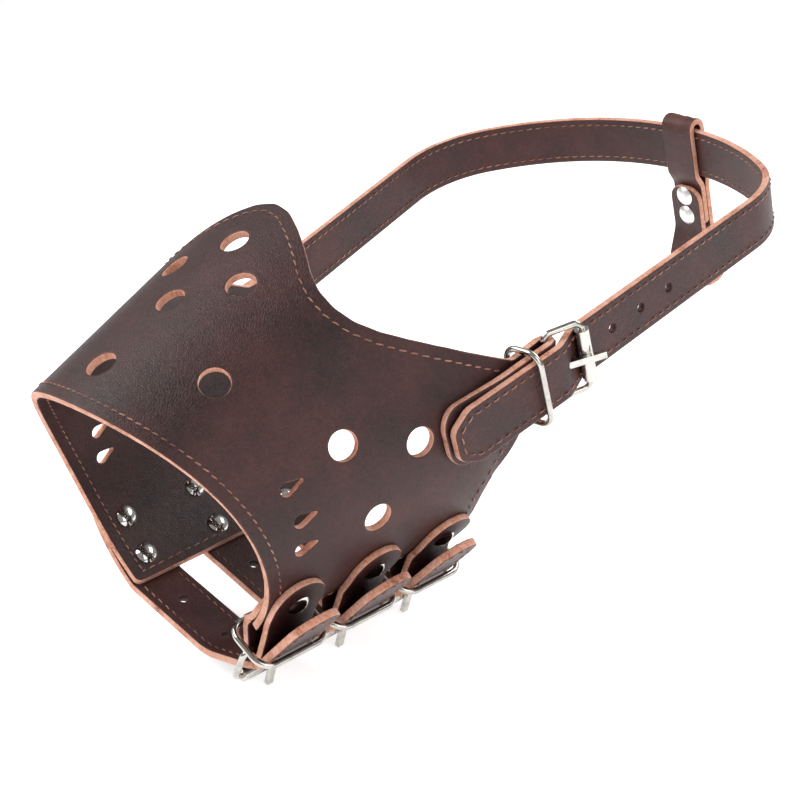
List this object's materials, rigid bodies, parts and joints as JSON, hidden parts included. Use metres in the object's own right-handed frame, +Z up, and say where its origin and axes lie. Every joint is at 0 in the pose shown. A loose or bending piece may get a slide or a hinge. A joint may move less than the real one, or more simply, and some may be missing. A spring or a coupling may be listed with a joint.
{
  "type": "basket muzzle",
  "caption": "Leather basket muzzle for a dog: a punched nose panel, three buckled chin straps and a buckled neck strap that carries a collar loop.",
  "frame": {"origin": "bottom centre of the muzzle's box, nose towards -Y, neck loop towards +Y", "axes": "+X the dog's left, the buckled side; +Y back towards the neck; +Z up"},
  "size_m": [0.1727, 0.3207, 0.151],
  "materials": {
    "panel_leather": "dark red-brown pull-up leather, fine grain, soft sheen",
    "tab_leather": "dark red-brown leather with a bare tan cut edge",
    "strap_leather": "dark red-brown two-ply strap leather, stitched near both edges",
    "loop_leather": "dark red-brown strip leather with a bare tan cut edge",
    "bright_wire": "bright nickel-plated wire",
    "roller_steel": "nickel-plated rolled sheet",
    "rivet_dark": "polished nickel dome",
    "rivet_bright": "polished nickel dome",
    "rivet_pale": "plain white-silver cap"
  },
  "bodies": {
    "basket": {"nose_panel": "panel_leather", "neck_strap": "strap_leather", "neck_buckle_frame": "bright_wire", "neck_strap_rivets": "rivet_dark", "chin_strap_rivets": "rivet_bright", "chin_tab_rivets": "rivet_dark", "chin_strap_front": "strap_leather", "chin_strap_middle": "strap_leather", "chin_strap_rear": "strap_leather", "chin_tab_front": "tab_leather", "chin_tab_middle": "tab_leather", "chin_tab_rear": "tab_leather", "chin_frame_front": "bright_wire", "chin_frame_middle": "bright_wire", "chin_frame_rear": "bright_wire"},
    "neck_roller": {"neck_buckle_roller": "roller_steel"},
    "neck_prong": {"neck_buckle_prong": "roller_steel"},
    "neck_keeper": {"neck_keeper_ring": "bright_wire"},
    "collar": {"collar_loop": "loop_leather", "collar_loop_rivets": "rivet_pale"},
    "front_roller": {"chin_roller_front": "roller_steel"},
    "front_prong": {"chin_prong_front": "roller_steel"},
    "front_keeper": {"chin_keeper_front": "bright_wire"},
    "middle_roller": {"chin_roller_middle": "roller_steel"},
    "middle_prong": {"chin_prong_middle": "roller_steel"},
    "middle_keeper": {"chin_keeper_middle": "bright_wire"},
    "rear_roller": {"chin_roller_rear": "roller_steel"},
    "rear_prong": {"chin_prong_rear": "roller_steel"},
    "rear_keeper": {"chin_keeper_rear": "bright_wire"}
  },
  "joints": [
    {"name": "neck_roller_spin", "type": "hinge", "parent": "basket", "child": "neck_roller", "pos_m": [0.0792, -0.00572, 0.09701], "axis": [0, -0.2588, 0.9659], "continuous": true},
    {"name": "neck_prong_lift", "type": "hinge", "parent": "basket", "child": "neck_prong", "pos_m": [0.07295, -0.01782, 0.09376], "axis": [0, 0.2588, -0.9659], "range_deg": [0, 8]},
    {"name": "neck_keeper_slide", "type": "slide", "parent": "basket", "child": "neck_keeper", "axis": [0, 0.9659, 0.2588], "range_m": [-0.001, 0.0025]},
    {"name": "collar_loop_slide", "type": "hinge", "parent": "basket", "child": "collar", "pos_m": [0.0016, 0.03241, 0.10722], "axis": [0, -0.2588, 0.9659], "range_deg": [-22, 40]},
    {"name": "front_roller_spin", "type": "hinge", "parent": "basket", "child": "front_roller", "pos_m": [0.0309, -0.1149, 0.00731], "axis": [0, 1, 0], "continuous": true},
    {"name": "front_prong_lift", "type": "hinge", "parent": "basket", "child": "front_prong", "pos_m": [0.0376, -0.1149, 0.0196], "axis": [0, -1, 0], "range_deg": [0, 8]},
    {"name": "front_keeper_slide", "type": "slide", "parent": "basket", "child": "front_keeper", "axis": [0.4807, 0, 0.8769], "range_m": [-0.001, 0]},
    {"name": "middle_roller_spin", "type": "hinge", "parent": "basket", "child": "middle_roller", "pos_m": [0.0309, -0.0829, 0.00731], "axis": [0, 1, 0], "continuous": true},
    {"name": "middle_prong_lift", "type": "hinge", "parent": "basket", "child": "middle_prong", "pos_m": [0.0376, -0.0829, 0.0196], "axis": [0, -1, 0], "range_deg": [0, 8]},
    {"name": "middle_keeper_slide", "type": "slide", "parent": "basket", "child": "middle_keeper", "axis": [0.4807, 0, 0.8769], "range_m": [-0.001, 0]},
    {"name": "rear_roller_spin", "type": "hinge", "parent": "basket", "child": "rear_roller", "pos_m": [0.0309, -0.0509, 0.00731], "axis": [0, 1, 0], "continuous": true},
    {"name": "rear_prong_lift", "type": "hinge", "parent": "basket", "child": "rear_prong", "pos_m": [0.0376, -0.0509, 0.0196], "axis": [0, -1, 0], "range_deg": [0, 8]},
    {"name": "rear_keeper_slide", "type": "slide", "parent": "basket", "child": "rear_keeper", "axis": [0.4807, 0, 0.8769], "range_m": [-0.001, 0]}
  ]
}
